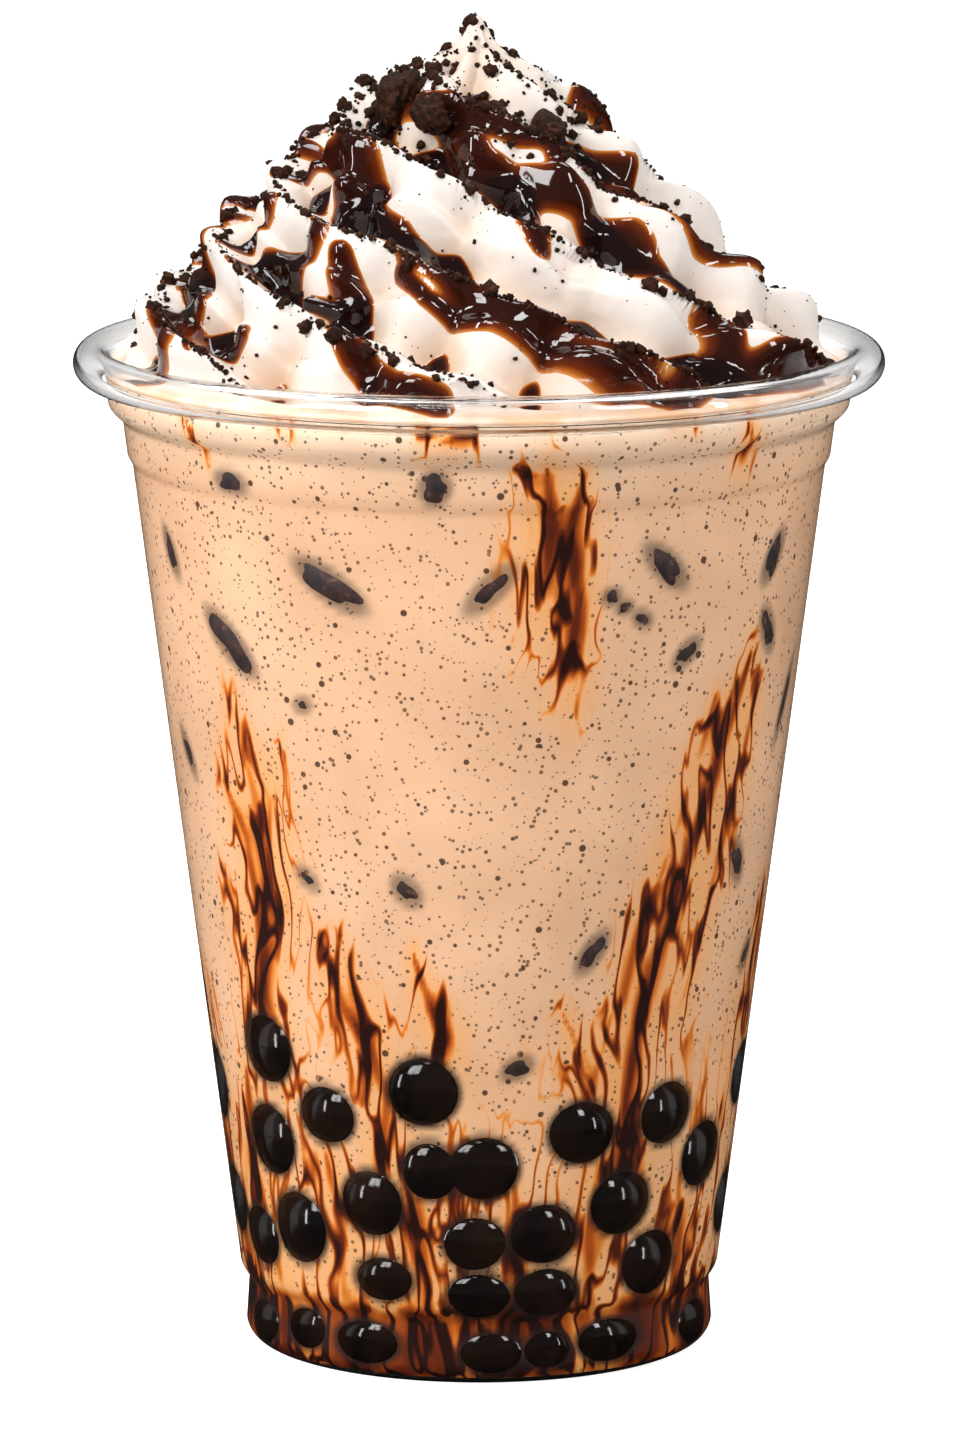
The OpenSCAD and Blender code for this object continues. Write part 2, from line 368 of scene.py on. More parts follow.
# %% Turn the profile
CUP_COLUMNS = 256
turns = np.arange(CUP_COLUMNS) * 360 / CUP_COLUMNS
ring_line = np.concatenate((outside[1:], inside[:0:-1]))
cup_rows = round_z(turns[None, :], ring_line[:, :1], ring_line[:, 1:])
cup = mesh_piece(
    "cup_sheet",
    *closed_grid(cup_rows, (0, 0, outside[0, 1]), (0, 0, inside[0, 1])),
)

# %% [markdown]
# Clear plastic bends and mirrors light as glass does, a little less strongly. A path tracer
# finds little light through such a sheet, so shadow rays pass it straight through: the drink
# is then lit as if the sheet were not there, and the sheet still shows its own gloss.

# %% Clear plastic


def new_material(name):
    """A material with a Principled shader, and its tree and shader."""
    made = bpy.data.materials.new(name)
    made.use_nodes = True
    tree = made.node_tree
    return made, tree, tree.nodes["Principled BSDF"]


def gloss(shader, roughness, specular=0.5):
    """Sets how rough a finish is and how strongly it mirrors, which is 0.5 for most things."""
    shader.inputs["Roughness"].default_value = roughness
    shader.inputs["Specular IOR Level"].default_value = specular


def own_place(tree):
    """A point's own coordinates in its piece, in metres."""
    return node(tree, "ShaderNodeTexCoord").outputs["Object"]


def carried(tree, name):
    """The number of that name that the mesh carries at each point."""
    return node(tree, "ShaderNodeAttribute", attribute_name=name).outputs["Fac"]


clear, tree, shader = new_material("clear_plastic")
output = tree.nodes["Material Output"]
shader.inputs["Base Color"].default_value = (0.985, 0.975, 0.968, 1)
shader.inputs["Transmission Weight"].default_value = 1.0
shader.inputs["Roughness"].default_value = 0.02
shader.inputs["IOR"].default_value = 1.46
path = node(tree, "ShaderNodeLightPath")
open_way = node(tree, "ShaderNodeBsdfTransparent")
mix = node(tree, "ShaderNodeMixShader")
chain(
    tree,
    (path.outputs["Is Shadow Ray"], mix.inputs[0]),
    (shader.outputs[0], mix.inputs[1]),
    (open_way.outputs[0], mix.inputs[2]),
    (mix.outputs[0], output.inputs["Surface"]),
)
finish_piece(cup, "clear_plastic", clear, "cup")

# %% [markdown]
# ## What is sunk in the drink
# Pearls and bits of cookie press against the wall, where they show. Each is a flattened body
# whose front reaches into the wall, so that the drink closes round it with no gap. Its
# surface is given over a disc: out from the middle and round it. The front is a low dome, but
# its shading normals lean out towards the edge, so that it mirrors the lamps as a rounder body
# would.

# %% Bodies pressed against the wall
DRINK_LIFT, EDGE_LIFT = 0.1, 0.02
SUNK_LOW_Z, SUNK_TOP_Z = 1.2, DRINK_Z - 0.2


def pressed_bodies(name, spots, dome, depth, rings, columns, wobble, roundness, power):
    """Flattened bodies on the wall. A spot is (turn, height, half width, half height, tilt,
    sink): the front is lift = dome sqrt(1 - q squared) for q from 0 at the middle to 1 at the
    edge, and the back is depth times the same root. The outline is |x|^power + |y|^power = 1,
    made uneven by wobble. Roundness is how far the shading leans at the edge, 1 as a ball."""
    q_front = np.sin(np.linspace(0.0, math.pi / 2, rings + 1))[1:]
    q = np.concatenate((q_front, q_front[-2::-1]))
    front = np.concatenate((np.ones(rings, bool), np.zeros(rings - 1, bool)))
    a = np.arange(columns) * 2 * math.pi / columns
    parts, normals, faces_q, faces_t, total = [], [], [], [], 0
    for number, (turn, height, half_w, half_h, tilt, sink) in enumerate(spots):
        uneven = 1 + wobble * (
            np.sin(2 * a + 1.7 * number) + 0.7 * np.sin(3 * a + 2.9 * number) + 0.4 * np.sin(5 * a)
        )
        corner = (np.abs(np.cos(a)) ** power + np.abs(np.sin(a)) ** power) ** (-1 / power)
        u = half_w * q[:, None] * np.cos(a) * corner * uneven
        v = half_h * q[:, None] * np.sin(a) * corner * uneven
        c, s = math.cos(math.radians(tilt)), math.sin(math.radians(tilt))
        across, up = u * c - v * s, u * s + v * c
        root = np.sqrt(np.clip(1 - q**2, 0, 1))[:, None]
        lift = np.where(front[:, None], dome * root * (1 - sink), -depth * root) + EDGE_LIFT
        lift = np.broadcast_to(lift, across.shape)
        z = np.clip(height + up, SUNK_LOW_Z, SUNK_TOP_Z)
        r = wall_inside(z)
        rows = round_z(turn + np.degrees(across / r), r + lift, z)
        tip = on_wall(turn, height, dome * (1 - sink) + EDGE_LIFT)
        back = on_wall(turn, height, -depth)
        points, quads, triangles = closed_grid(rows, tip, back, down=True)
        side = roundness * q[:, None] * np.stack((np.cos(a), np.sin(a)))[:, None, :].reshape(2, 1, -1)
        slope = np.sqrt(np.clip(1 - side[0] ** 2 - side[1] ** 2, 0.02, 1))
        facing = np.where(front[:, None], slope, -slope)
        t = np.radians(turn)
        out_dir = np.array((math.sin(t), -math.cos(t), 0.0))
        side_dir = np.array((math.cos(t), math.sin(t), 0.0))
        way = (
            facing[..., None] * out_dir
            + (side[0] * c - side[1] * s)[..., None] * side_dir
            + (side[0] * s + side[1] * c)[..., None] * np.array((0.0, 0.0, 1.0))
        )
        parts.append(points)
        normals.append(np.concatenate((way.reshape(-1, 3), [out_dir, -out_dir])))
        faces_q.append(quads + total)
        faces_t.append(triangles + total)
        total += len(points)
    piece = mesh_piece(
        name, np.concatenate(parts), np.concatenate(faces_q), np.concatenate(faces_t)
    )
    piece.data.normals_split_custom_set_from_vertices(np.concatenate(normals))
    return piece


# %% Places of the pearls
# Each is its turn in degrees, the height of its middle, its width and height in mm, and how far it is
# sunk in the drink. The front ones are listed one by one, and the rest fill the other side by the same
# spacing.
FRONT_PEARLS = [
    (-51, 40, 8.6, 8.4, 0.0), (-35, 33, 7.8, 7.2, 0.15), (-53, 28.5, 8.6, 8.8, 0.1),
    (-12, 37, 8.7, 8.5, 0.0), (1, 27.5, 8.4, 8.0, 0.0), (-11, 27, 7.0, 7.6, 0.5),
    (-25, 22.5, 8.0, 8.2, 0.1), (-46, 18, 8.6, 9.0, 0.1), (-62, 15.5, 7.8, 7.6, 0.3),
    (-80, 33, 8.4, 9.4, 0.0), (-77, 18.5, 8.2, 8.2, 0.1), (-1, 18, 7.6, 6.8, 0.2),
    (15, 19, 8.1, 7.6, 0.0), (23, 31.5, 8.4, 7.8, 0.0), (45, 32.5, 8.3, 7.8, 0.1),
    (34, 22, 8.4, 8.0, 0.0), (60, 26, 8.6, 8.4, 0.1), (44, 13.8, 8.6, 8.2, 0.2),
    (80, 34, 8.4, 8.0, 0.1), (80, 18, 8.4, 8.6, 0.2), (0, 11.4, 7.6, 5.6, 0.2),
    (16, 11.6, 8.0, 6.0, 0.1), (-23, 13.0, 7.4, 5.6, 0.3), (-68, 4.0, 8.0, 5.8, 0.2),
    (-29, 4.6, 8.4, 5.6, 0.1), (3, 4.0, 7.6, 4.8, 0.1), (34, 4.6, 8.6, 6.0, 0.0),
    (68, 4.0, 8.4, 5.6, 0.1), (-48, 5.0, 6.6, 5.0, 0.3), (17, 4.2, 6.0, 4.6, 0.4),
]
BACK_TURNS = (92, 268)
pearl_rng = np.random.default_rng(11)


def spread_spots(rng, taken, wanted, turn_range, height_range, apart):
    """Random spots in a band of the wall, each kept if it is apart mm from those before it."""
    spots = list(taken)
    for _ in range(wanted * 60):
        turn, height = rng.uniform(*turn_range), rng.uniform(*height_range)
        r = wall_inside(height)
        near = [
            math.hypot(math.radians((turn - t + 180) % 360 - 180) * r, height - h) for t, h in spots
        ]
        if not near or min(near) > apart:
            spots.append((turn, height))
        if len(spots) - len(taken) == wanted:
            break
    return spots[len(taken):]


front_places = [p[:2] for p in FRONT_PEARLS]
back_places = spread_spots(pearl_rng, front_places, 34, BACK_TURNS, (11, 38), apart=8.6)
back_places += spread_spots(
    pearl_rng, front_places + back_places, 9, BACK_TURNS, (3.8, 4.8), apart=9.0
)
pearls_at = list(FRONT_PEARLS)
for turn, height in back_places:
    pearls_at.append((turn, height, pearl_rng.uniform(7.6, 8.7), pearl_rng.uniform(7.4, 8.6),
                      pearl_rng.uniform(0, 0.3)))
pearls_at = [(t, h, w, min(k, 5.2) if h < FOOT_H else k, s) for t, h, w, k, s in pearls_at]
pearl_spots = [(t, h, w / 2, k / 2, 0.0, s) for t, h, w, k, s in pearls_at]
pearls = pressed_bodies(
    "pearls", pearl_spots, dome=0.46, depth=3.6, rings=9, columns=28, wobble=0.012, roundness=0.42,
    power=2.0,
)
print("pearls:", len(pearl_spots))

# %% Places of the cookie bits in the drink
# Each is its turn, the height of its middle, its length and breadth in mm, its tilt in degrees
# and how far it is sunk.
FRONT_BITS = [
    (-26, 99, 8.4, 3.2, -32, 0.35), (-49, 90.5, 8.6, 3.4, -42, 0.35), (-65, 100, 4.6, 2.0, -65, 0.4),
    (-44, 110.5, 3.8, 2.0, -6, 0.35), (-7, 111.5, 3.4, 3.2, 60, 0.45), (2, 99.2, 6.0, 2.4, 45, 0.6),
    (33, 101, 6.2, 2.6, -42, 0.45), (60, 100, 5.6, 2.8, 60, 0.4), (61, 91, 5.0, 2.4, -60, 0.4),
    (39, 90, 3.4, 2.0, 40, 0.5), (23, 97.8, 1.6, 1.4, 0, 0.2), (25.5, 96.4, 1.4, 1.2, 0, 0.2),
    (29, 94.8, 1.7, 1.2, -30, 0.2), (74, 81, 7.0, 1.6, 70, 0.4), (-69, 75, 4.2, 1.6, -60, 0.4),
    (-14, 62, 3.4, 2.4, -50, 0.6), (23, 54, 4.2, 2.0, 55, 0.4), (8, 40, 3.0, 2.0, 30, 0.4),
    (60, 62.5, 4.4, 2.2, -70, 0.4),
    (-35, 62.5, 2.4, 1.4, -40, 0.6), (70, 50, 3.2, 1.8, 60, 0.5), (-33, 84, 1.6, 1.2, 10, 0.6),
]
bit_rng = np.random.default_rng(5)
bits_at = list(FRONT_BITS)
front_places = [b[:2] for b in FRONT_BITS]
for turn, height in spread_spots(bit_rng, front_places, 22, (86, 274), (44, 112), apart=9.0):
    bits_at.append((turn, height, bit_rng.uniform(3, 8), bit_rng.uniform(1.8, 3.4),
                    bit_rng.uniform(-80, 80), bit_rng.uniform(0.3, 0.7)))
bit_spots = [(t, h, w / 2, k / 2, tilt, s) for t, h, w, k, tilt, s in bits_at]
bits = pressed_bodies(
    "sunk_cookie_bits", bit_spots, dome=0.28, depth=1.2, rings=6, columns=32, wobble=0.16,
    roundness=0.3, power=3.0,
)
print("bits of cookie:", len(bit_spots))

# %% [markdown]
# ## The drink
# The milk tea is opaque, so only its skin shows. It reaches a little way into the wall, and
# its skin carries four numbers at each point: how much thick syrup clings to the wall there, how
# far a thin veil of it spreads, how near a dark pearl or bit is, and how pale the cream makes
# the tea. The material turns them into colour, with noise for what is finer than the grid.

# %% Brown sugar on the wall
# Each stroke runs down the wall through (turn, height) points, with a width and a strength.
STROKES = [
    ([(46, 120), (46, 117), (47, 114.5)], 1.0, 1.0),
    ([(-9, 118.4), (-5, 117.6), (-1, 118.4)], 0.8, 1.0),
    ([(-52, 118.5), (-50, 116)], 0.8, 0.8),
    ([(30, 118.8), (35, 118.3)], 0.6, 0.6),
    ([(-34, 118.8), (-30, 118.2)], 0.6, 0.6),
    ([(6, 113.6), (10, 112.6), (15, 113)], 1.4, 0.5),
    ([(11, 113), (12, 107), (11, 101)], 2.4, 1.0),
    ([(17, 113), (15, 106), (17, 97), (16, 90)], 1.5, 0.78),
    ([(17, 104), (18, 92), (17, 84)], 1.0, 0.4),
    ([(-50, 82), (-47, 74), (-45, 62), (-50, 46)], 2.4, 0.55),
    ([(-46, 79), (-41, 68), (-40, 58)], 1.3, 0.5),
    ([(-55, 73), (-50, 66), (-49, 58), (-50, 47), (-47, 42)], 1.7, 0.72),
    ([(-38, 80), (-43, 70), (-45, 60)], 1.0, 0.45),
    ([(-60, 62), (-55, 52), (-56, 44)], 1.4, 0.5),
    ([(-86, 52), (-82, 40), (-80, 26), (-72, 12)], 2.6, 0.7),
    ([(-33, 55), (-29, 47), (-23, 42), (-20, 36), (-22, 27)], 1.6, 0.8),
    ([(-28, 56), (-26, 49), (-22, 44)], 1.2, 0.5),
    ([(-13, 54), (-10, 48), (-7, 44)], 1.5, 0.85),
    ([(56, 88), (51, 79), (48, 72), (44, 65), (41, 58), (37, 51), (35, 44), (33, 36), (34, 27)],
     2.3, 1.0),
    ([(60, 84), (57, 74), (53, 63), (50, 54), (46, 46)], 1.5, 0.72),
    ([(47, 84), (43, 74), (39, 66), (36, 58)], 1.4, 0.55),
    ([(38, 64), (33, 56), (31, 48)], 1.2, 0.5),
    ([(78, 58), (76, 48), (70, 40), (68, 30)], 2.2, 0.6),
    ([(17, 47), (22, 41), (25, 37)], 1.4, 0.7),
    ([(28, 46), (26, 40), (24, 36)], 1.2, 0.6),
    ([(-36, 28), (-33, 20), (-34, 11)], 2.0, 0.75),
    ([(-14, 28), (-13, 19), (-12, 10)], 1.8, 0.6),
    ([(8, 25), (9, 16), (8, 10)], 1.6, 0.6),
    ([(27, 28), (26, 17), (28, 10)], 1.8, 0.6),
    ([(52, 24), (54, 15), (56, 10)], 2.2, 0.75),
    ([(-60, 36), (-62, 24), (-56, 12)], 2.2, 0.75),
]
stroke_rng = np.random.default_rng(3)
for turn in np.linspace(98, 262, 13):
    top = stroke_rng.uniform(44, 88)
    drift = stroke_rng.uniform(-7, 7)
    middle = turn + 0.5 * drift + stroke_rng.uniform(-3, 3)
    STROKES.append(
        ([(turn, top), (middle, 0.5 * top + 8), (turn + drift, 12)],
         stroke_rng.uniform(1.2, 2.4), stroke_rng.uniform(0.5, 1.0))
    )


def distance_to_line(turn, down, radius, line, tall=1.0):
    """Distance in mm on a round skin to a line through (turn, down) points. Turns become mm
    by the radius there, and tall below 1 makes each piece's round ends longer."""
    nearest = np.full_like(turn, 1e9)
    for (t0, d0), (t1, d1) in zip(line, line[1:]):
        x = np.radians((turn - t0 + 180) % 360 - 180) * radius
        dx = np.radians(t1 - t0) * radius
        y, dy = down - d0, d1 - d0
        share = np.clip((x * dx + y * dy) / (dx**2 + dy**2), 0, 1)
        nearest = np.minimum(nearest, np.hypot(x - share * dx, tall * (y - share * dy)))
    return nearest


def stroke_strength(turn, height, spread):
    """How strongly syrup colours the wall at each point: for each stroke a bell curve of the
    distance to it, and the strokes together by 1 - product(1 - each). The curve's width is
    the stroke's own times spread, and narrows to the stroke's top end."""
    clear_of_all = np.ones_like(turn)
    r = wall_inside(height)
    for line, width, strength in STROKES:
        away = distance_to_line(turn, height, r, line, 0.45)
        reach = width * spread * (0.35 + 0.65 * soft((line[0][1] + 2 - height) / 9))
        clear_of_all *= 1 - strength * np.exp(-((away / reach) ** 2))
    return 1 - clear_of_all


def nearness(turn, height, spots, reach):
    """1 inside a spot's outline, or less for one that is sunk deeper, falling softly to 0 at
    reach mm outside it."""
    most = np.zeros_like(turn)
    r = wall_inside(height)
    for t, h, half_w, half_h, tilt, sink in spots:
        x = np.radians((turn - t + 180) % 360 - 180) * r
        y = height - h
        c, s = math.cos(math.radians(tilt)), math.sin(math.radians(tilt))
        away = np.hypot((x * c + y * s) / half_w, (-x * s + y * c) / half_h)
        gap = (away - 1) * min(half_w, half_h)
        most = np.maximum(most, (1 - 0.35 * sink) * soft(1 - gap / reach))
    return most


# %% The drink's body
DRINK_COLUMNS = 560
foot_heights = np.linspace(1.1, FOOT_H + FOOT_STEP_H, 26)
heights = np.concatenate((foot_heights, np.linspace(10.6, DRINK_Z, 128)))
turns = np.arange(DRINK_COLUMNS) * 360 / DRINK_COLUMNS
turn_grid, height_grid = np.meshgrid(turns, heights)
wall_rows = on_wall(turn_grid, height_grid, DRINK_LIFT)
top_rows = round_z(turns[None, :], np.array([[40.0], [20.0]]), DRINK_Z)
FOOT_Z = WALL - DRINK_LIFT
low_z = np.array([[PUSH_UP + FOOT_Z], [FOOT_Z]])
low_rows = round_z(turns[None, :], np.array([[12.0], [RING_IN_R]]), low_z)
drink_rows = np.concatenate((low_rows, wall_rows, top_rows))
syrup = stroke_strength(turn_grid, height_grid, 0.5)
veil = stroke_strength(turn_grid, height_grid, 1.9)
deep = soft((12.5 - height_grid) / 4) * 0.45 + soft((50 - height_grid) / 34) * 0.5
veil = 1 - (1 - veil) * (1 - deep)
syrup = np.maximum(syrup, 0.68 * soft((10.5 - height_grid) / 2))
shade = np.maximum(
    nearness(turn_grid, height_grid, pearl_spots, 0.85),
    0.8 * nearness(turn_grid, height_grid, bit_spots, 1.1),
)
pale = 0.45 * soft((height_grid - 109) / 8) + 0.55 * soft((height_grid - DRINK_Z + 2.5) / 2)


def with_ends(numbers, low=0.0, top=0.0):
    """The wall's numbers with plain rows below and above, and the two end points."""
    return np.concatenate(
        (np.full(2 * DRINK_COLUMNS, low), numbers.ravel(), np.full(2 * DRINK_COLUMNS, top), [low, top])
    )


drink = mesh_piece(
    "milk_tea_body",
    *closed_grid(drink_rows, (0, 0, PUSH_UP + FOOT_Z), (0, 0, DRINK_Z)),
    {
        "syrup": with_ends(syrup, 1.0),
        "veil": with_ends(veil, 1.0),
        "shade": with_ends(shade),
        "pale": with_ends(pale, 0.0, 1.0),
    },
)

# %% [markdown]
# The colours come in layers, as on the real wall: tan milk tea, a thin orange veil of syrup and
# fine dark specks, then the syrup's own threads, which are nearly black where thick, then the
# dark shade round what is sunk. A painted picture could give them too, but noise stays sharp at
# any size. It is stretched, so that the threads run down the wall.

# %% Shared patterns


def group(name, inputs, outputs):
    """An empty node group with float, vector or colour sockets, and its two end nodes."""
    made = bpy.data.node_groups.new(name, "ShaderNodeTree")
    kinds = {"f": "NodeSocketFloat", "v": "NodeSocketVector", "c": "NodeSocketColor"}
    for label, kind, default in inputs:
        socket = made.interface.new_socket(label, in_out="INPUT", socket_type=kinds[kind])
        if default is not None:
            socket.default_value = default
    for label, kind in outputs:
        made.interface.new_socket(label, in_out="OUTPUT", socket_type=kinds[kind])
    return made, node(made, "NodeGroupInput"), node(made, "NodeGroupOutput")


def use(tree, made, **values):
    """Places a node group in a material with its own values."""
    placed = node(tree, "ShaderNodeGroup", node_tree=made)
    for key, value in values.items():
        placed.inputs[key.replace("_", " ").capitalize()].default_value = value
    return placed


def noise(tree, vector, scale, detail=3.0, roughness=0.55):
    """A Noise Texture's value for a vector socket."""
    made = node(
        tree, "ShaderNodeTexNoise", inputs={"Scale": scale, "Detail": detail, "Roughness": roughness}
    )
    tree.links.new(vector, made.inputs["Vector"])
    return made.outputs["Fac"]


def ramp(tree, value, stops):
    """A Color Ramp over a value, from (place, colour) stops."""
    made = node(tree, "ShaderNodeValToRGB")
    points = made.color_ramp.elements
    while len(points) < len(stops):
        points.new(0.5)
    for point, (place, colour) in zip(points, stops):
        point.position = place
        point.color = (*colour, 1)
    tree.links.new(value, made.inputs[0])
    return made.outputs[0]


def blend(tree, share, first, second):
    """A colour mixed from two, by a share that is a number or a socket."""
    made = node(tree, "ShaderNodeMix", data_type="RGBA")
    for socket, value in ((made.inputs[0], share), (made.inputs[6], first), (made.inputs[7], second)):
        if isinstance(value, bpy.types.NodeSocket):
            tree.links.new(value, socket)
        else:
            socket.default_value = (*value, 1) if isinstance(value, tuple) else value
    return made.outputs[2]


# Specks: dots of uneven size at the cells of a Voronoi pattern, 1 inside a dot and 0 outside.
specks, given, result = group(
    "specks",
    [("Vector", "v", None), ("Cells", "f", 1000.0), ("Size", "f", 0.2), ("Share", "f", 0.4)],
    [("Mask", "f")],
)
cells = node(specks, "ShaderNodeTexVoronoi")
chain(specks, (given.outputs["Vector"], cells.inputs["Vector"]))
chain(specks, (given.outputs["Cells"], cells.inputs["Scale"]))
parts = node(specks, "ShaderNodeSeparateColor")
chain(specks, (cells.outputs["Color"], parts.inputs[0]))
chosen = math_node(specks, "LESS_THAN", parts.outputs[0], given.outputs["Share"])
even = math_node(specks, "MULTIPLY", parts.outputs[1], parts.outputs[1])
reach = math_node(specks, "MULTIPLY_ADD", even, 0.8, 0.2)
reach = math_node(specks, "MULTIPLY", reach, given.outputs["Size"])
dot = math_node(specks, "SUBTRACT", reach, cells.outputs["Distance"])
dot = math_node(specks, "MULTIPLY", dot, 20.0, clamp=True)
chain(specks, (math_node(specks, "MULTIPLY", dot, chosen), result.inputs["Mask"]))

# %% The drink's material
PALE_MILK, SYRUP_VEIL = (0.86, 0.7, 0.54), (0.88, 0.41, 0.11)
SPECK_BROWN, SHADE_BROWN = (0.05, 0.018, 0.01), (0.022, 0.012, 0.01)
tea, tree, shader = new_material("milk_tea")
place = own_place(tree)
syrup_value = carried(tree, "syrup")
veil_value = carried(tree, "veil")
shade_value = carried(tree, "shade")
pale_value = carried(tree, "pale")
cloud = noise(tree, place, 60.0, 2.0)
milk = ramp(tree, cloud, [(0.3, (0.7, 0.44, 0.27)), (0.7, (0.83, 0.545, 0.35))])
milk = blend(tree, pale_value, milk, PALE_MILK)
fine = use(tree, specks, cells=1450.0, size=0.42, share=0.95)
coarse = use(tree, specks, cells=620.0, size=0.31, share=0.6)
chain(tree, (place, fine.inputs["Vector"]), (place, coarse.inputs["Vector"]))
fine_dots = math_node(tree, "MULTIPLY", fine.outputs[0], 0.85)
dots = math_node(tree, "MAXIMUM", fine_dots, coarse.outputs[0])
milk = blend(tree, math_node(tree, "MULTIPLY", veil_value, 0.78), milk, SYRUP_VEIL)
milk = blend(tree, math_node(tree, "MULTIPLY", dots, 0.92), milk, SPECK_BROWN)

# Threads: stretched noise, pushed sideways by slower noise so that the threads slant and meet,
# and folded at its middle value, so that each thread is a thin line.
lean = node(tree, "ShaderNodeTexNoise", inputs={"Scale": 80.0, "Detail": 2.0})
stretch = node(tree, "ShaderNodeMapping", inputs={"Scale": (1.0, 1.0, 0.14)})
half_stretch = node(tree, "ShaderNodeMapping", inputs={"Scale": (1.0, 1.0, 0.5)})
chain(tree, (place, half_stretch.inputs["Vector"]), (half_stretch.outputs[0], lean.inputs["Vector"]))
pushed = node(tree, "ShaderNodeVectorMath", operation="MULTIPLY_ADD")
pushed.inputs[1].default_value = (0.009, 0.009, 0.0)
chain(
    tree,
    (lean.outputs["Color"], pushed.inputs[0]),
    (place, pushed.inputs[2]),
    (pushed.outputs[0], stretch.inputs["Vector"]),
)
threads = noise(tree, stretch.outputs[0], 360.0, 1.5, 0.45)
folded = math_node(tree, "ABSOLUTE", math_node(tree, "SUBTRACT", threads, 0.5))
line = math_node(tree, "MULTIPLY_ADD", folded, -15.0, 1.0, clamp=True)
broad = noise(tree, stretch.outputs[0], 230.0, 2.0, 0.5)
uneven = math_node(tree, "MULTIPLY_ADD", broad, 3.2, -1.6)
amount = math_node(tree, "MULTIPLY_ADD", veil_value, 0.6, -0.5)
amount = math_node(tree, "MULTIPLY_ADD", syrup_value, 0.5, amount)
amount = math_node(tree, "ADD", amount, math_node(tree, "MULTIPLY", uneven, 0.45))
amount = math_node(tree, "MULTIPLY_ADD", line, 0.72, amount)
inside = math_node(tree, "MULTIPLY", veil_value, 2.2, clamp=True)
amount = math_node(tree, "MULTIPLY", amount, inside, clamp=True)
tint = ramp(
    tree,
    amount,
    [(0.0, (0.82, 0.45, 0.2)), (0.12, (0.82, 0.3, 0.05)), (0.28, (0.5, 0.1, 0.006)),
     (0.5, (0.14, 0.018, 0.002)), (0.78, (0.02, 0.004, 0.002))],
)
cover = math_node(tree, "MULTIPLY", amount, 7.0, clamp=True)
colour = blend(tree, cover, milk, tint)
colour = blend(tree, math_node(tree, "MULTIPLY", shade_value, 0.93), colour, SHADE_BROWN)
chain(tree, (colour, shader.inputs["Base Color"]))
gloss(shader, 0.45, 0.15)
finish_piece(drink, "milk_tea", tea, "milk_tea")

# %% [markdown]
# Boiled tapioca is wet and nearly black, and it mirrors the lamps sharply. Soaked cookie is matt,
# with paler crumbs in it. Both are opaque finishes with a little noise in their colour, because
# finer detail would not show through the wall.

# %% Pearls and sunk cookie
pearl, tree, shader = new_material("tapioca_pearl")
place = own_place(tree)
cloud = noise(tree, place, 180.0, 3.0)
tone = ramp(tree, cloud, [(0.35, (0.003, 0.002, 0.002)), (0.75, (0.016, 0.007, 0.004))])
chain(tree, (tone, shader.inputs["Base Color"]))
gloss(shader, 0.07, 0.45)
finish_piece(pearls, "pearls", pearl)

sunk, tree, shader = new_material("sunk_cookie")
place = own_place(tree)
tone = ramp(
    tree,
    noise(tree, place, 700.0, 4.0, 0.65),
    [(0.4, (0.008, 0.004, 0.004)), (0.6, (0.045, 0.014, 0.01)), (0.8, (0.26, 0.14, 0.1))],
)
chain(tree, (tone, shader.inputs["Base Color"]))
gloss(shader, 0.6)
finish_piece(bits, "cookie", sunk)

# %% [markdown]
# ## Whipped cream
# The swirl is a cone whose skin is pushed in and out along the cone's own square direction.
# Six coils wind down it side by side, each with two flutes along its face and a row of round
# pillows, as a star nozzle leaves them. A place on the skin is a turn round Z and a distance
# down the slope from the tip.

# %% The cream's skin
CREAM_GAP, CREAM_EDGE_H, COILS, COIL_PITCH = 0.5, 1.0, 6, 14.6
COIL_DEPTH, FLUTE_DEPTH, PILLOW_DEPTH, LEAN = 2.2, 0.7, 2.2, 2.2
FIRST_CREST, COIL_FACE, TIP_WAIST = 1.38, 0.74, 1.2
CREAM_R = wall_inside(DRINK_Z) - CREAM_GAP
CONE_H = PEAK_Z - DRINK_Z - CREAM_EDGE_H
SLOPE = math.hypot(CREAM_R, CONE_H)
OUT_R, OUT_Z = CONE_H / SLOPE, CREAM_R / SLOPE


def ridge(phase, face):
    """A ridge from -1 to 1 over a phase in turns: a cosine whose falling side takes the share
    face of the turn, so that the crest at 0 has a long outer face and a short inner shelf."""
    f = phase - np.floor(phase)
    c = np.where(f < face, f / face / 2, 0.5 + (f - face) / (1 - face) / 2)
    return np.cos(2 * np.pi * c)


def coil_phase(turn, s):
    """Distance down the slope over the pitch, less the coils' own turns round Z, which come
    faster at the right and low down, plus a slow waver."""
    f = np.radians(turn)
    steeper = -2.5 + 6.5 * soft(s / SLOPE)
    waver = 0.09 * np.sin(2 * f + 0.6) + 0.05 * np.sin(5 * f - 0.11 * s)
    wound = COILS * f + steeper * np.sin(f) - 2 * np.cos(f)
    return s / COIL_PITCH - wound / (2 * np.pi) - FIRST_CREST + waver


def pillows(count, f, down, shift):
    """Round pillows with narrow valleys: twice the root of cosine squared plus 0.02, set lower
    by 1.25 so that they stand about as far in as out."""
    return 2 * np.sqrt(np.cos((count * f + down + shift) / 2) ** 2 + 0.02) - 1.25


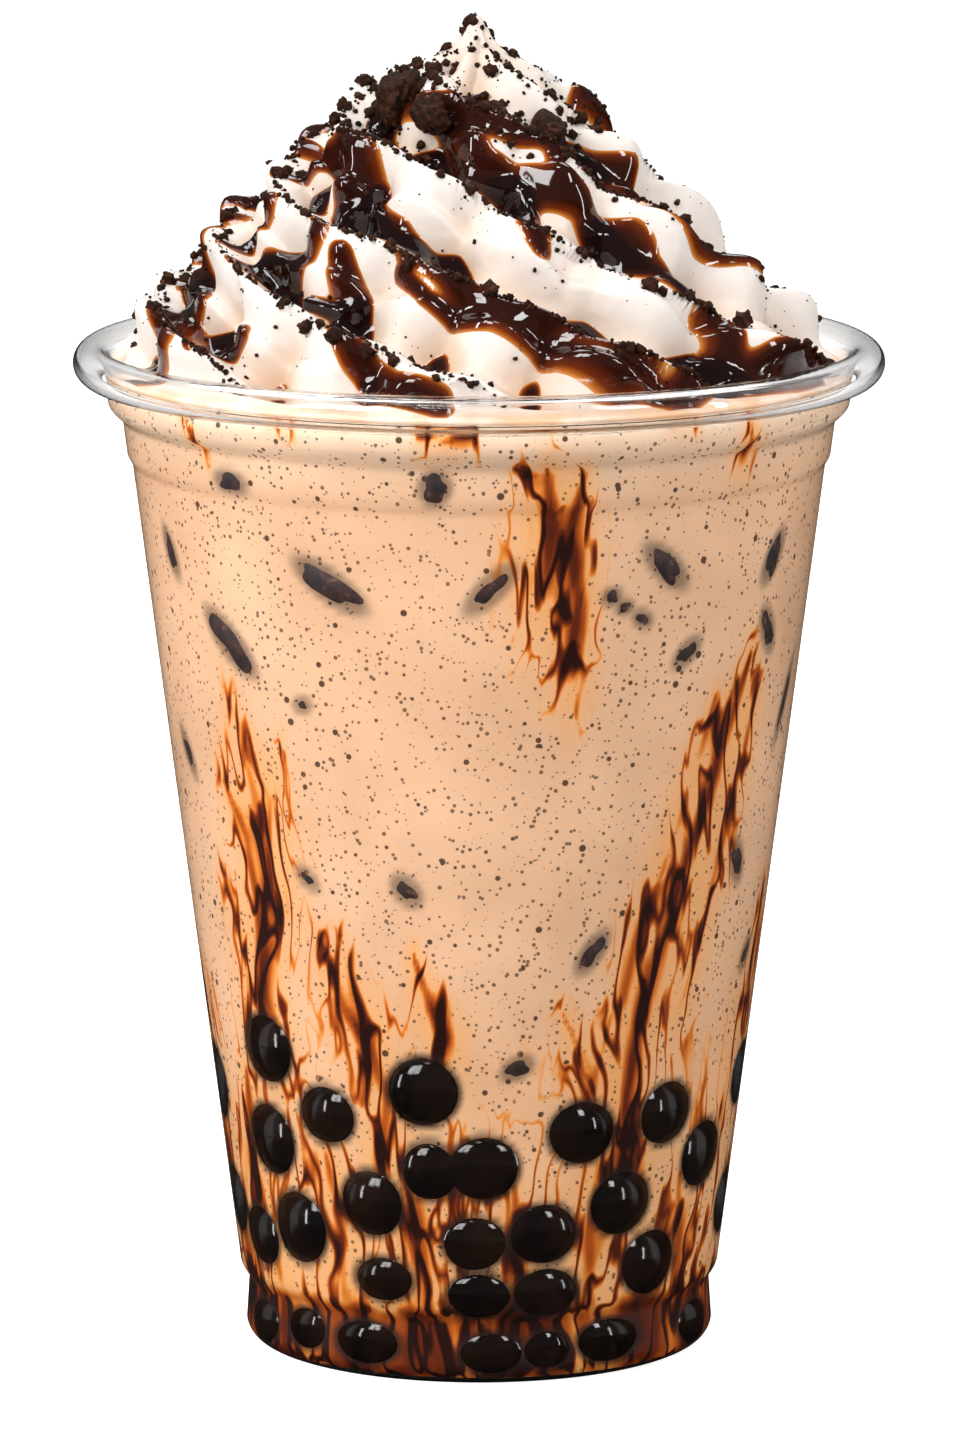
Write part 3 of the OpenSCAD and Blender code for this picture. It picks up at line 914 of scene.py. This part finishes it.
def stand_out(turn, s):
    """How far the skin stands out of the cone in mm: coils, flutes and pillows together. More
    pillows go to a turn lower down. All fade at the tip and at the edge, and the tip is drawn
    in to a waist."""
    f = np.radians(turn)
    phase = coil_phase(turn, s)
    across = phase - np.floor(phase)
    coil = np.mod(np.floor(phase), COILS)
    shift = 2.4 * coil + 0.7 * np.sin(2 * f + 1) + 0.5 * np.sin(3 * f + 0.12 * s)
    high, low = soft((30 - s) / 14), soft((s - 38) / 12)
    row = (
        high * pillows(6, f, s / 7, 0.5 + shift)
        + (1 - high - low) * pillows(11, f, s / 6, 1.0 + shift)
        + low * pillows(16, f, s / 5, 2.0 + shift)
    )
    on_face = 0.45 + 0.55 * soft(across / 0.2) * soft((0.97 - across) / 0.25)
    uneven = 1 + 0.18 * np.sin(3 * f + 0.07 * s + 1)
    fade = soft(s / 24) * soft((SLOPE - s) / 4)
    waist = TIP_WAIST * np.exp(-(((s - 6) / 4.5) ** 2))
    flutes = ridge(2 * phase + 2 * f / (2 * np.pi) + 0.3, 0.7)
    relief = COIL_DEPTH * ridge(phase, COIL_FACE) + FLUTE_DEPTH * flutes
    return fade * uneven * (relief + PILLOW_DEPTH * on_face * row) - waist


def skin(turn, s, out):
    """The point that stands out by out mm over the cone, whose middle leans to the left by
    LEAN mm, kept inside the cup's wall."""
    t = s / SLOPE
    r = CREAM_R * t + out * OUT_R
    z = PEAK_Z - CONE_H * t + out * OUT_Z
    points = round_z(turn, r, z)
    points[..., 0] -= LEAN * np.sin(np.pi * t)
    reach = np.maximum(np.hypot(points[..., 0], points[..., 1]), 1e-3)
    keep = np.where(z < CUP_H + 1, np.minimum(1, CREAM_R / reach), 1)
    points[..., :2] *= keep[..., None]
    return points


CREAM_COLUMNS, CREAM_ROWS = 440, 190
turns = np.arange(CREAM_COLUMNS) * 360 / CREAM_COLUMNS
slopes = np.linspace(0, SLOPE, CREAM_ROWS + 1)[1:]
turn_grid, slope_grid = np.meshgrid(turns, slopes)
relief = stand_out(turn_grid, slope_grid)
foot_rows = round_z(turns[None, :], CREAM_R + 0.55, np.array([[DRINK_Z + 0.8], [DRINK_Z]]))
cream_rows = np.concatenate((skin(turn_grid, slope_grid, relief), foot_rows))
# The cream's height over its cone, which the material reads to paint shade into the hollows.
hollow = np.concatenate((relief.ravel(), np.zeros(2 * CREAM_COLUMNS), [0.0, 0.0]))
soaked = soft((DRINK_Z + 2.6 - cream_rows[..., 2]) / 1.8).ravel()
cream = mesh_piece(
    "whipped_cream_swirl",
    *closed_grid(cream_rows, (0, 0, PEAK_Z), (0, 0, DRINK_Z), down=True),
    {"hollow": hollow, "soaked": np.concatenate((soaked, [0.0, 1.0]))},
)

# %% [markdown]
# Cream is white where it stands out, and in its hollows its colour is painted darker and warmer:
# painted shade for the shade there and for light that has gone through more of it. Scattering alone
# could give that, but it renders slowly, so only a little is used and the skin's own height leads the
# painted shade. Grain and soft dents keep the gloss from being even.

# %% Cream's material
dairy, tree, shader = new_material("whipped_cream")
place = own_place(tree)
relief_for_painted_shade = carried(tree, "hollow")
# Painted shade: the lower the skin lies in a hollow, the darker and warmer the cream's colour.
spread = math_node(tree, "MULTIPLY_ADD", relief_for_painted_shade, 0.17, 0.5, clamp=True)
painted_shade_and_soak = ramp(
    tree,
    spread,
    [(0.0, (0.8, 0.59, 0.43)), (0.45, (0.87, 0.75, 0.66)), (0.8, (0.9, 0.82, 0.765))],
)
soaked_value = carried(tree, "soaked")
patches = math_node(tree, "MULTIPLY_ADD", noise(tree, place, 170.0, 3.0), 3.0, -0.75, clamp=True)
painted_shade_and_soak = blend(tree, math_node(tree, "MULTIPLY", soaked_value, patches), painted_shade_and_soak, (0.74, 0.47, 0.29))
chain(tree, (painted_shade_and_soak, shader.inputs["Base Color"]))
grain = noise(tree, place, 900.0, 3.0)
dents = noise(tree, place, 210.0, 2.0, 0.4)
bump = node(tree, "ShaderNodeBump", inputs={"Strength": 0.12, "Distance": 0.0002})
soft_bump = node(tree, "ShaderNodeBump", inputs={"Strength": 0.5, "Distance": 0.0016})
chain(
    tree,
    (dents, soft_bump.inputs["Height"]),
    (soft_bump.outputs[0], bump.inputs["Normal"]),
    (grain, bump.inputs["Height"]),
    (bump.outputs[0], shader.inputs["Normal"]),
)
gloss(shader, 0.42)
shader.inputs["Subsurface Weight"].default_value = 0.35
shader.inputs["Subsurface Radius"].default_value = (1.0, 0.75, 0.5)
shader.inputs["Subsurface Scale"].default_value = 0.0008
finish_piece(cream, "whipped_cream", dairy, "whipped_cream")

# %% [markdown]
# ## Chocolate sauce
# Sauce lies where gravity leaves it: level in the hollows between coils, and in thin strands
# that cross them on their way down. Both are heights over the same cone, so the sauce is a
# second skin that stands above the cream only where there is sauce. Its depth at each point
# sets its colour, as a thin edge lets orange light through.

# %% The sauce's height
# Each flow runs through (turn, slope distance) points, with a half width in mm.
FLOWS = [
    ([(-62, 17), (-40, 25), (-34, 30), (-18, 34), (-6, 41), (3, 46), (14, 51), (24, 57)], 2.0),
    ([(9, 47), (18, 48), (25, 52), (30, 59)], 1.9),
    ([(-45, 15), (-10, 16), (9, 19), (28, 21), (60, 23), (70, 28), (62, 35), (68, 40), (78, 46)], 1.8),
    ([(-4, 17), (7, 24), (22, 27), (38, 31), (47, 36), (50, 41), (57, 45), (51, 51), (48, 57)], 1.8),
    ([(22, 28), (19, 33), (19, 38)], 1.4),
    ([(38, 22), (34, 29)], 1.2),
    ([(33, 60), (44, 55), (50, 58), (66, 59)], 1.9),
    ([(-43, 24), (-62, 25), (-76, 29)], 1.2),
    ([(-37, 29), (-36, 37), (-42, 39), (-56, 41)], 1.8),
    ([(-58, 34), (-74, 37), (-69, 40)], 1.1),
    ([(-92, 38), (-82, 42), (-80, 47), (-68, 52), (-60, 57), (-70, 60)], 2.1),
    ([(-90, 47), (-78, 47), (-66, 48)], 1.4),
    ([(-52, 56), (-45, 52)], 1.0),
    ([(-28, 40), (-25, 44), (-26, 48), (-20, 54), (-14, 58), (-6, 60)], 1.7),
    ([(-36, 45), (-26, 46)], 1.0),
    ([(-14, 41), (-8, 45), (3, 48)], 0.9),
    ([(54, 58), (84, 60)], 0.8),
]
RUN_TOGETHER = 3.2
flow_rng = np.random.default_rng(8)
for turn in np.linspace(108, 262, 8):
    s0, drift = flow_rng.uniform(14, 26), flow_rng.uniform(-14, 20)
    s1, s2 = s0 + flow_rng.uniform(10, 14), s0 + flow_rng.uniform(22, 32)
    FLOWS.append(
        ([(turn, s0), (turn + drift, s1), (turn + flow_rng.uniform(0.2, 1.6) * drift, s2)],
         flow_rng.uniform(1.3, 2.1))
    )


def sauce_depth(turn, s, relief):
    """Depth of sauce in mm over the cream, below 0 where there is none. Each flow is a low
    rounded ridge, 1 - (distance / half width) squared, that also fills the hollow it crosses.
    Hollows elsewhere hold a little sauce, up to a level that comes and goes. All are joined by
    a soft maximum, log(sum of exp(k depth)) / k, where k is RUN_TOGETHER."""
    f = np.radians(turn)
    level = -2.3 + 0.6 * np.sin(2 * f + 0.09 * s + 0.6) + 0.5 * np.sin(3 * f - 0.16 * s + 2.0)
    level -= 2.5 * soft((s - 54) / 6) + 6 * soft((12 - s) / 4)
    pool = level - relief
    radius = CREAM_R * s / SLOPE
    thick = np.full_like(turn, -30.0)
    for number, (line, half_w) in enumerate(FLOWS):
        wander = 0.2 * np.sin(0.55 * s + 2.1 * number) + 0.15 * np.sin(7 * f + number)
        width = 1.25 * half_w * (1 + wander)
        away = distance_to_line(turn, s, radius, line) / width
        hollow = 0.8 * np.clip(-0.4 - relief, 0, 2.2) * soft(1.35 - away)
        thick = np.logaddexp(thick, RUN_TOGETHER * (0.6 * (1 - away**2) + hollow))
    return np.minimum(np.logaddexp(thick, RUN_TOGETHER * pool) / RUN_TOGETHER, 2.6)


SAUCE_LOW, SAUCE_EDGE, SAUCE_UNDER = -0.4, -0.35, 0.45
depth = sauce_depth(turn_grid, slope_grid, relief)
sauce_skin = skin(turn_grid, slope_grid, relief + np.maximum(depth, SAUCE_LOW) + 0.02)
under_skin = skin(turn_grid, slope_grid, relief - SAUCE_UNDER)
quads = grid_faces(CREAM_ROWS, CREAM_COLUMNS)
kept = quads[(depth.ravel()[quads] > SAUCE_EDGE).any(1)]
print("sauce covers", round(len(kept) / len(quads), 3), "of the cream")


def shell(name, top, bottom, quads, values):
    """A closed shell: the chosen faces of a top sheet, the same faces of a bottom sheet turned
    over, and a strip along every edge that only one chosen face has."""
    sides = np.concatenate([quads[:, [k, (k + 1) % 4]] for k in range(4)])
    _, first, uses = np.unique(np.sort(sides, 1), axis=0, return_index=True, return_counts=True)
    rim = sides[first[uses == 1]]
    used, renumbered = np.unique(quads, return_inverse=True)
    position = np.zeros(len(top), int)
    position[used] = np.arange(len(used))
    top_faces = renumbered.reshape(-1, 4)
    low = len(used)
    bottom_faces = top_faces[:, ::-1] + low
    a, b = position[rim[:, 0]], position[rim[:, 1]]
    strips = np.stack((b, a, a + low, b + low), -1)
    points = np.concatenate((top[used], bottom[used]))
    doubled = {key: np.concatenate((v[used], v[used])) for key, v in values.items()}
    return mesh_piece(name, points, np.concatenate((top_faces, bottom_faces, strips)), [], doubled)


sauce = shell(
    "chocolate_sauce",
    sauce_skin.reshape(-1, 3),
    under_skin.reshape(-1, 3),
    kept[:, ::-1],
    {"depth": depth.ravel()},
)

# %% [markdown]
# Chocolate sauce is a clear dark brown, so it looks orange where thin and black where deep. A
# clear liquid could show that by itself but takes long to render, so the finish is opaque and
# wet, and the depth picks its colour.

# %% Sauce's material
choc, tree, shader = new_material("chocolate_sauce")
depth_value = carried(tree, "depth")
spread = math_node(tree, "MULTIPLY", depth_value, 0.8, clamp=True)
tone = ramp(
    tree,
    spread,
    [(0.0, (0.66, 0.27, 0.06)), (0.08, (0.42, 0.11, 0.014)), (0.2, (0.14, 0.022, 0.004)),
     (0.42, (0.032, 0.006, 0.003)), (0.9, (0.01, 0.003, 0.003))],
)
chain(tree, (tone, shader.inputs["Base Color"]))
gloss(shader, 0.06, 0.6)
finish_piece(sauce, "chocolate_sauce", choc)

# %% [markdown]
# ## Cookie pieces and crumbs
# A crumb is a small ball that has been pushed about and cut flat in places. The same grid of
# points is used for a grain and for the large broken pieces, with more rows for a larger one.

# %% Rough lumps


def ball(rows, columns):
    """Unit vectors in rows from pole to pole, and after them the two poles."""
    p = np.linspace(0, math.pi, rows + 2)[1:-1, None]
    a = np.arange(columns) * 2 * math.pi / columns
    grid = np.stack((np.sin(p) * np.cos(a), np.sin(p) * np.sin(a), np.cos(p) + 0 * a), -1)
    return np.concatenate((grid.reshape(-1, 3), ((0, 0, 1.0), (0, 0, -1.0))))


def ball_faces(points, rows, columns):
    """Points and faces of a ball whose points have been moved."""
    grid = points[:-2].reshape(rows, columns, 3)
    return closed_grid(grid, points[-2], points[-1], down=True)


def bumps(points, rng, waves, fineness):
    """Sum of sine waves in random directions, from -1 to 1: a smooth uneven field."""
    total = np.zeros(points.shape[:-1])
    for _ in range(waves):
        way = rng.normal(size=3) * fineness
        total += np.sin(points @ way + rng.uniform(0, 2 * math.pi))
    return total / math.sqrt(waves) * 0.7


def lump(unit, rng, cuts, coarse, fine_depth):
    """A rough lump: unit vectors cut flat by planes, then pushed out by coarse waves and by
    grains, which are waves folded at zero, so that sharp valleys lie between them."""
    radius = np.ones(unit.shape[:-1])
    for _ in range(cuts):
        way = rng.normal(size=3)
        way /= np.linalg.norm(way)
        facing = np.maximum(unit @ way, 1e-6)
        radius = np.minimum(radius, rng.uniform(0.6, 0.85) / facing)
    grains = 2 * np.abs(bumps(unit, rng, 10, 6.0)) - 0.7
    radius *= 1 + coarse * bumps(unit, rng, 6, 2.4) + fine_depth * grains
    return unit * radius[..., None]


def lumps_piece(name, places, sizes, rng, rows, columns, cuts, coarse, fine_depth):
    """Many lumps as one mesh, each turned and stretched at random and set at its place."""
    unit = ball(rows, columns)
    parts, quads, fans, total = [], [], [], 0
    for place, size in zip(places, sizes):
        shaped = lump(unit, rng, cuts, coarse, fine_depth)
        turned, _ = np.linalg.qr(rng.normal(size=(3, 3)))
        if np.linalg.det(turned) < 0:
            turned[:, 0] *= -1
        stretch = rng.uniform(0.8, 1.15, 3)
        shaped = (shaped * stretch) @ turned.T * size + place
        points, q, t = ball_faces(shaped, rows, columns)
        parts.append(points)
        quads.append(q + total)
        fans.append(t + total)
        total += len(points)
    return mesh_piece(name, np.concatenate(parts), np.concatenate(quads), np.concatenate(fans))


def crumb_places(rng, wanted, top, bottom, from_crest, lift):
    """Random places on the cream or its sauce between two slope distances, no further than
    from_crest turns of phase from a coil's crest. Gives the places as turn, slope, height."""
    turn = rng.uniform(-180, 180, 80 * wanted)
    s = SLOPE * np.sqrt(rng.uniform((top / SLOPE) ** 2, (bottom / SLOPE) ** 2, turn.size))
    phase = coil_phase(turn, s) + 0.02
    off_crest = np.abs(phase - np.round(phase))
    picked = np.flatnonzero(off_crest < from_crest * rng.uniform(0, 1, turn.size) ** 0.5)[:wanted]
    turn, s = turn[picked], s[picked]
    relief = stand_out(turn, s)
    return turn, s, relief + np.maximum(sauce_depth(turn, s, relief), 0.0) + lift


def scatter(name, rng, batches, **look):
    """One mesh of many lumps. A batch is (how many, top and bottom slope distance, reach from
    the crest, usual radius, spread of radii). Look is what lumps_piece makes them with."""
    places, sizes = [], []
    for wanted, top, bottom, from_crest, usual, spread in batches:
        turn, s, out = crumb_places(rng, wanted, top, bottom, from_crest, 0.35 * usual)
        places.append(skin(turn, s, out))
        sizes.append(usual * np.exp(np.clip(rng.normal(0, spread, turn.size), -1.2, 1.1)))
    return lumps_piece(name, np.concatenate(places), np.concatenate(sizes), rng, **look)


# %% Scatter the crumbs
crumb_rng = np.random.default_rng(21)
END = SLOPE - 2
dust = scatter(
    "cookie_dust", crumb_rng,
    [(900, 1.5, END, 0.5, 0.09, 0.35), (500, 1.5, 22, 0.5, 0.11, 0.35),
     (700, 10, END, 0.05, 0.12, 0.3)],
    rows=2, columns=5, cuts=1, coarse=0.1, fine_depth=0.05,
)
grains = scatter(
    "crumb_grains", crumb_rng,
    [(1450, 14, END, 0.035, 0.27, 0.35), (520, 1.5, 24, 0.5, 0.25, 0.4),
     (260, 16, END, 0.5, 0.22, 0.35)],
    rows=4, columns=7, cuts=3, coarse=0.15, fine_depth=0.12,
)
crumbs = scatter(
    "cookie_crumbs", crumb_rng,
    [(170, 12, END, 0.05, 0.5, 0.25), (110, 1, 22, 0.5, 0.48, 0.3), (50, 20, END, 0.4, 0.45, 0.3)],
    rows=6, columns=9, cuts=4, coarse=0.16, fine_depth=0.2,
)
clusters = scatter(
    "cookie_clusters", crumb_rng,
    [(26, 16, 56, 0.2, 0.95, 0.15), (13, 5, 19, 0.5, 0.85, 0.15)],
    rows=14, columns=20, cuts=5, coarse=0.14, fine_depth=0.2,
)

# %% [markdown]
# The three large pieces stand for solids of the construction model, so each takes its place and
# size from its own solid. They could be broken off a modelled cookie, but a lump with many more
# rows than a crumb's has the same torn edges and pits with less work.

# %% The large broken pieces


def broken_piece(name, node_name, seed, rows, columns, share, shift):
    """One large rough piece in its construction solid, at a share of that solid's size."""
    rng = np.random.default_rng(seed)
    low, high = (np.array(c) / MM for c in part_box(node_name))
    rough = lump(ball(rows, columns), rng, cuts=9, coarse=0.08, fine_depth=0.1)
    shaped = rough * (high - low) * share + ((low + high) / 2 + np.array(shift))
    return mesh_piece(name, *ball_faces(shaped, rows, columns))


cookie_large = broken_piece("cookie_large", "cookie_piece_large", 4, 70, 110, 0.43, (1.2, 0.0, -0.6))
cookie_small = broken_piece("cookie_small", "cookie_piece_small", 9, 44, 70, 0.5, (0.6, 0.0, -0.8))
cookie_right = broken_piece("cookie_right", "cookie_piece_right", 14, 44, 70, 0.5, (-0.5, 0.0, -0.8))

# %% [markdown]
# Dark cookie is dry and matt, with paler grains and pits where it broke. They are finer than the
# mesh, so noise gives both the grains' colour and the pits' shading.

# %% Cookie's material
baked, tree, shader = new_material("dark_cookie")
place = own_place(tree)
tone = ramp(
    tree,
    noise(tree, place, 1400.0, 4.0, 0.6),
    [(0.35, (0.01, 0.004, 0.002)), (0.58, (0.045, 0.014, 0.006)), (0.78, (0.17, 0.06, 0.025))],
)
chain(tree, (tone, shader.inputs["Base Color"]))
pits = noise(tree, place, 2600.0, 4.0, 0.7)
bump = node(tree, "ShaderNodeBump", inputs={"Strength": 0.7, "Distance": 0.0003})
chain(tree, (pits, bump.inputs["Height"]), (bump.outputs[0], shader.inputs["Normal"]))
gloss(shader, 0.6, 0.12)
for piece in (dust, grains, crumbs, clusters):
    finish_piece(piece, "cookie", baked)
finish_piece(cookie_large, "cookie", baked, "cookie_piece_large")
finish_piece(cookie_small, "cookie", baked, "cookie_piece_small")
finish_piece(cookie_right, "cookie", baked, "cookie_piece_right")
